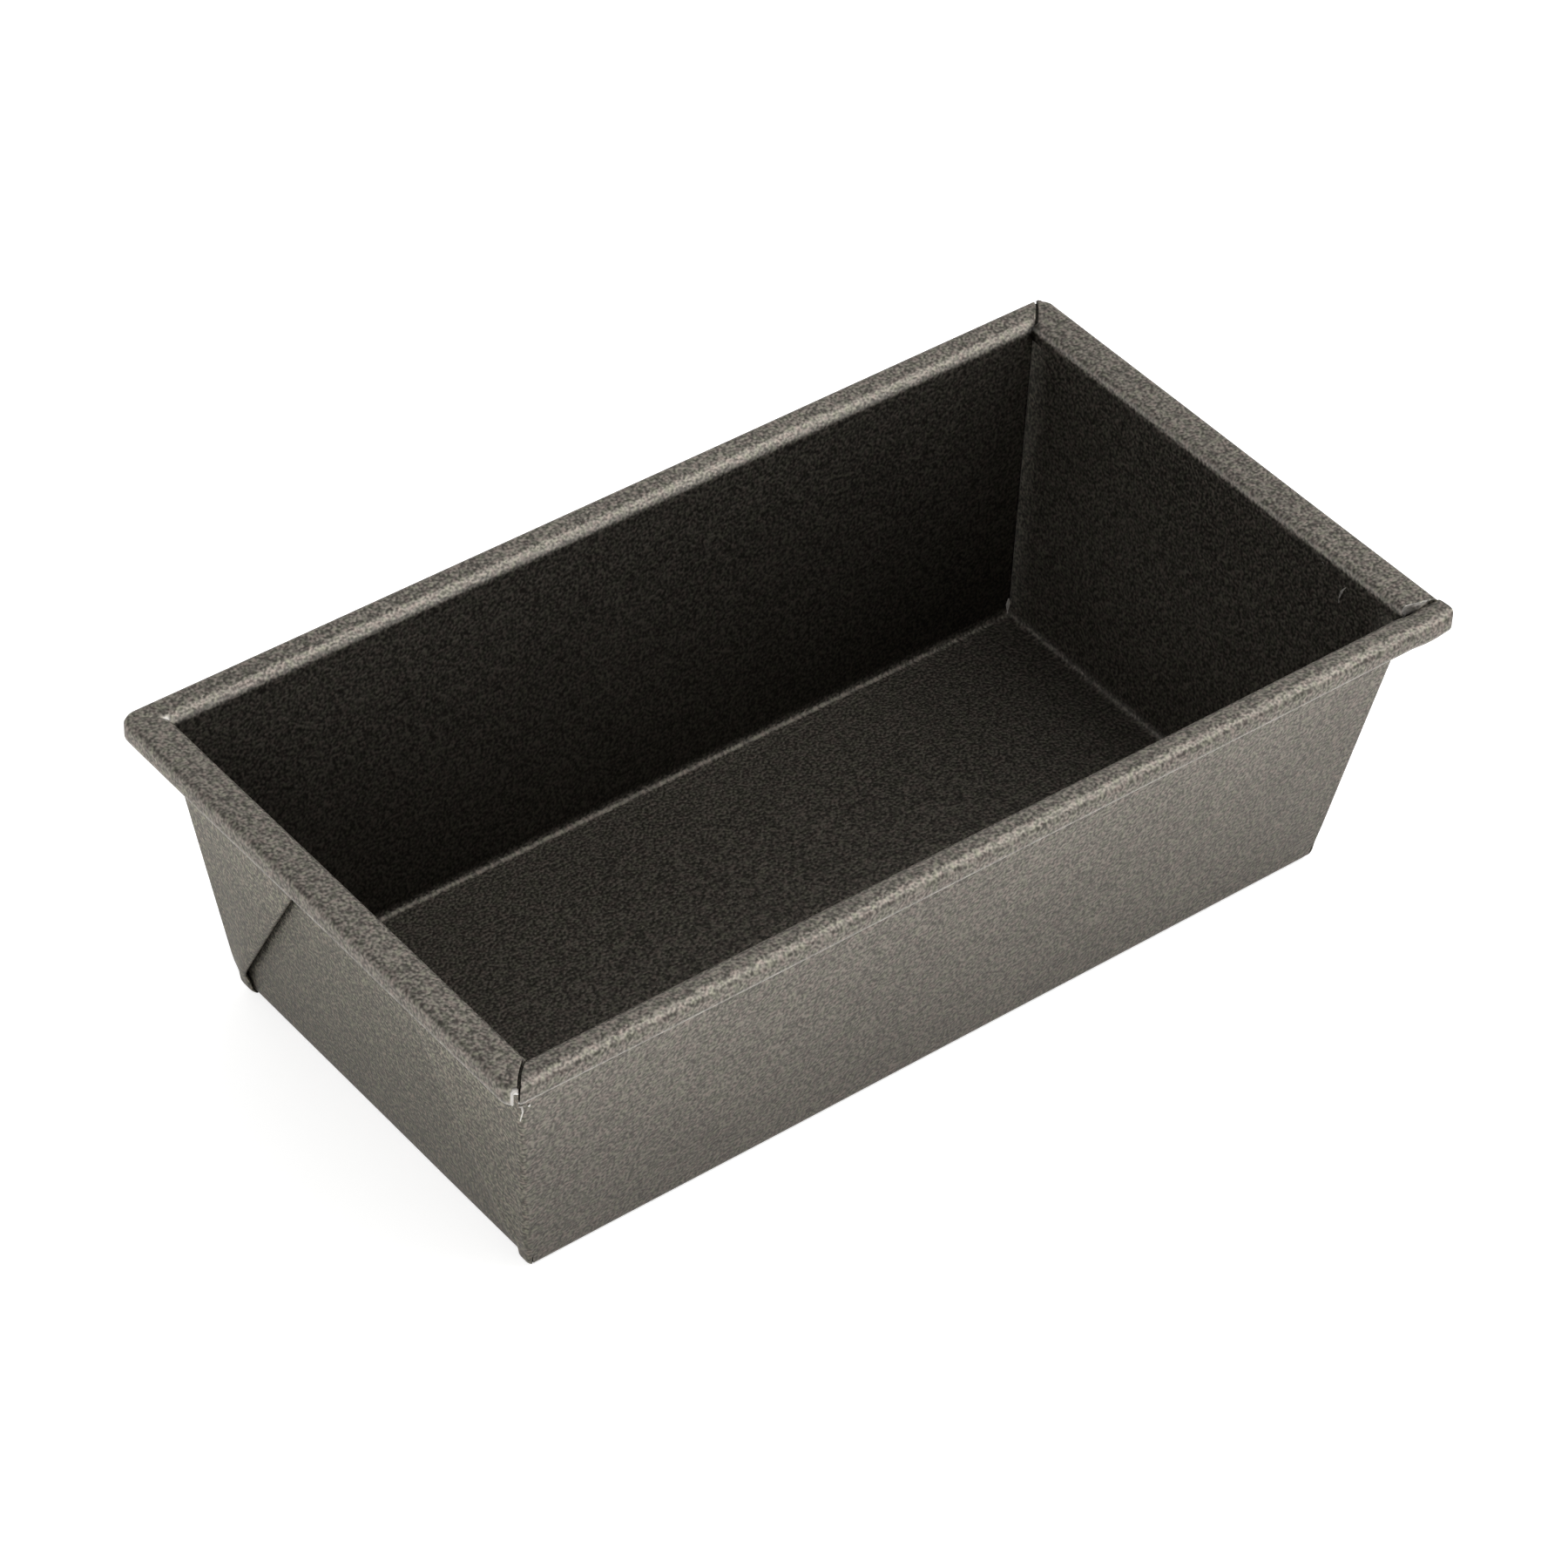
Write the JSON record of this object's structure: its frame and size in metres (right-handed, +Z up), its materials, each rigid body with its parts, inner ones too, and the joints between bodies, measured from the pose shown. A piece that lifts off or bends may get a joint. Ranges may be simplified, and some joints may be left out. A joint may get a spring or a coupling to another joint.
{
  "type": "loaf pan",
  "caption": "Oblong loaf pan with leaning walls, folded from one dark coated steel sheet, with corner folds flat on its ends and a rim rolled round a wire hoop.",
  "frame": {"origin": "centre of the underside of the base, which is also the bottom centre of the bounding box", "axes": "+X along the pan's length, +Y across it, +Z up out of the opening"},
  "size_m": [0.2264, 0.125, 0.0661],
  "materials": {
    "coated_sheet": "dark grey-brown non-stick coating, satin, with a fine metallic fleck",
    "steel_wire": "plain drawn steel wire"
  },
  "bodies": {
    "root": {"base_panel": "coated_sheet", "front_wall": "coated_sheet", "back_wall": "coated_sheet", "left_end_wall": "coated_sheet", "right_end_wall": "coated_sheet", "front_left_fold": "coated_sheet", "front_right_fold": "coated_sheet", "back_left_fold": "coated_sheet", "back_right_fold": "coated_sheet", "front_rim": "coated_sheet", "back_rim": "coated_sheet", "left_rim": "coated_sheet", "right_rim": "coated_sheet", "rim_wire": "steel_wire"}
  },
  "joints": []
}
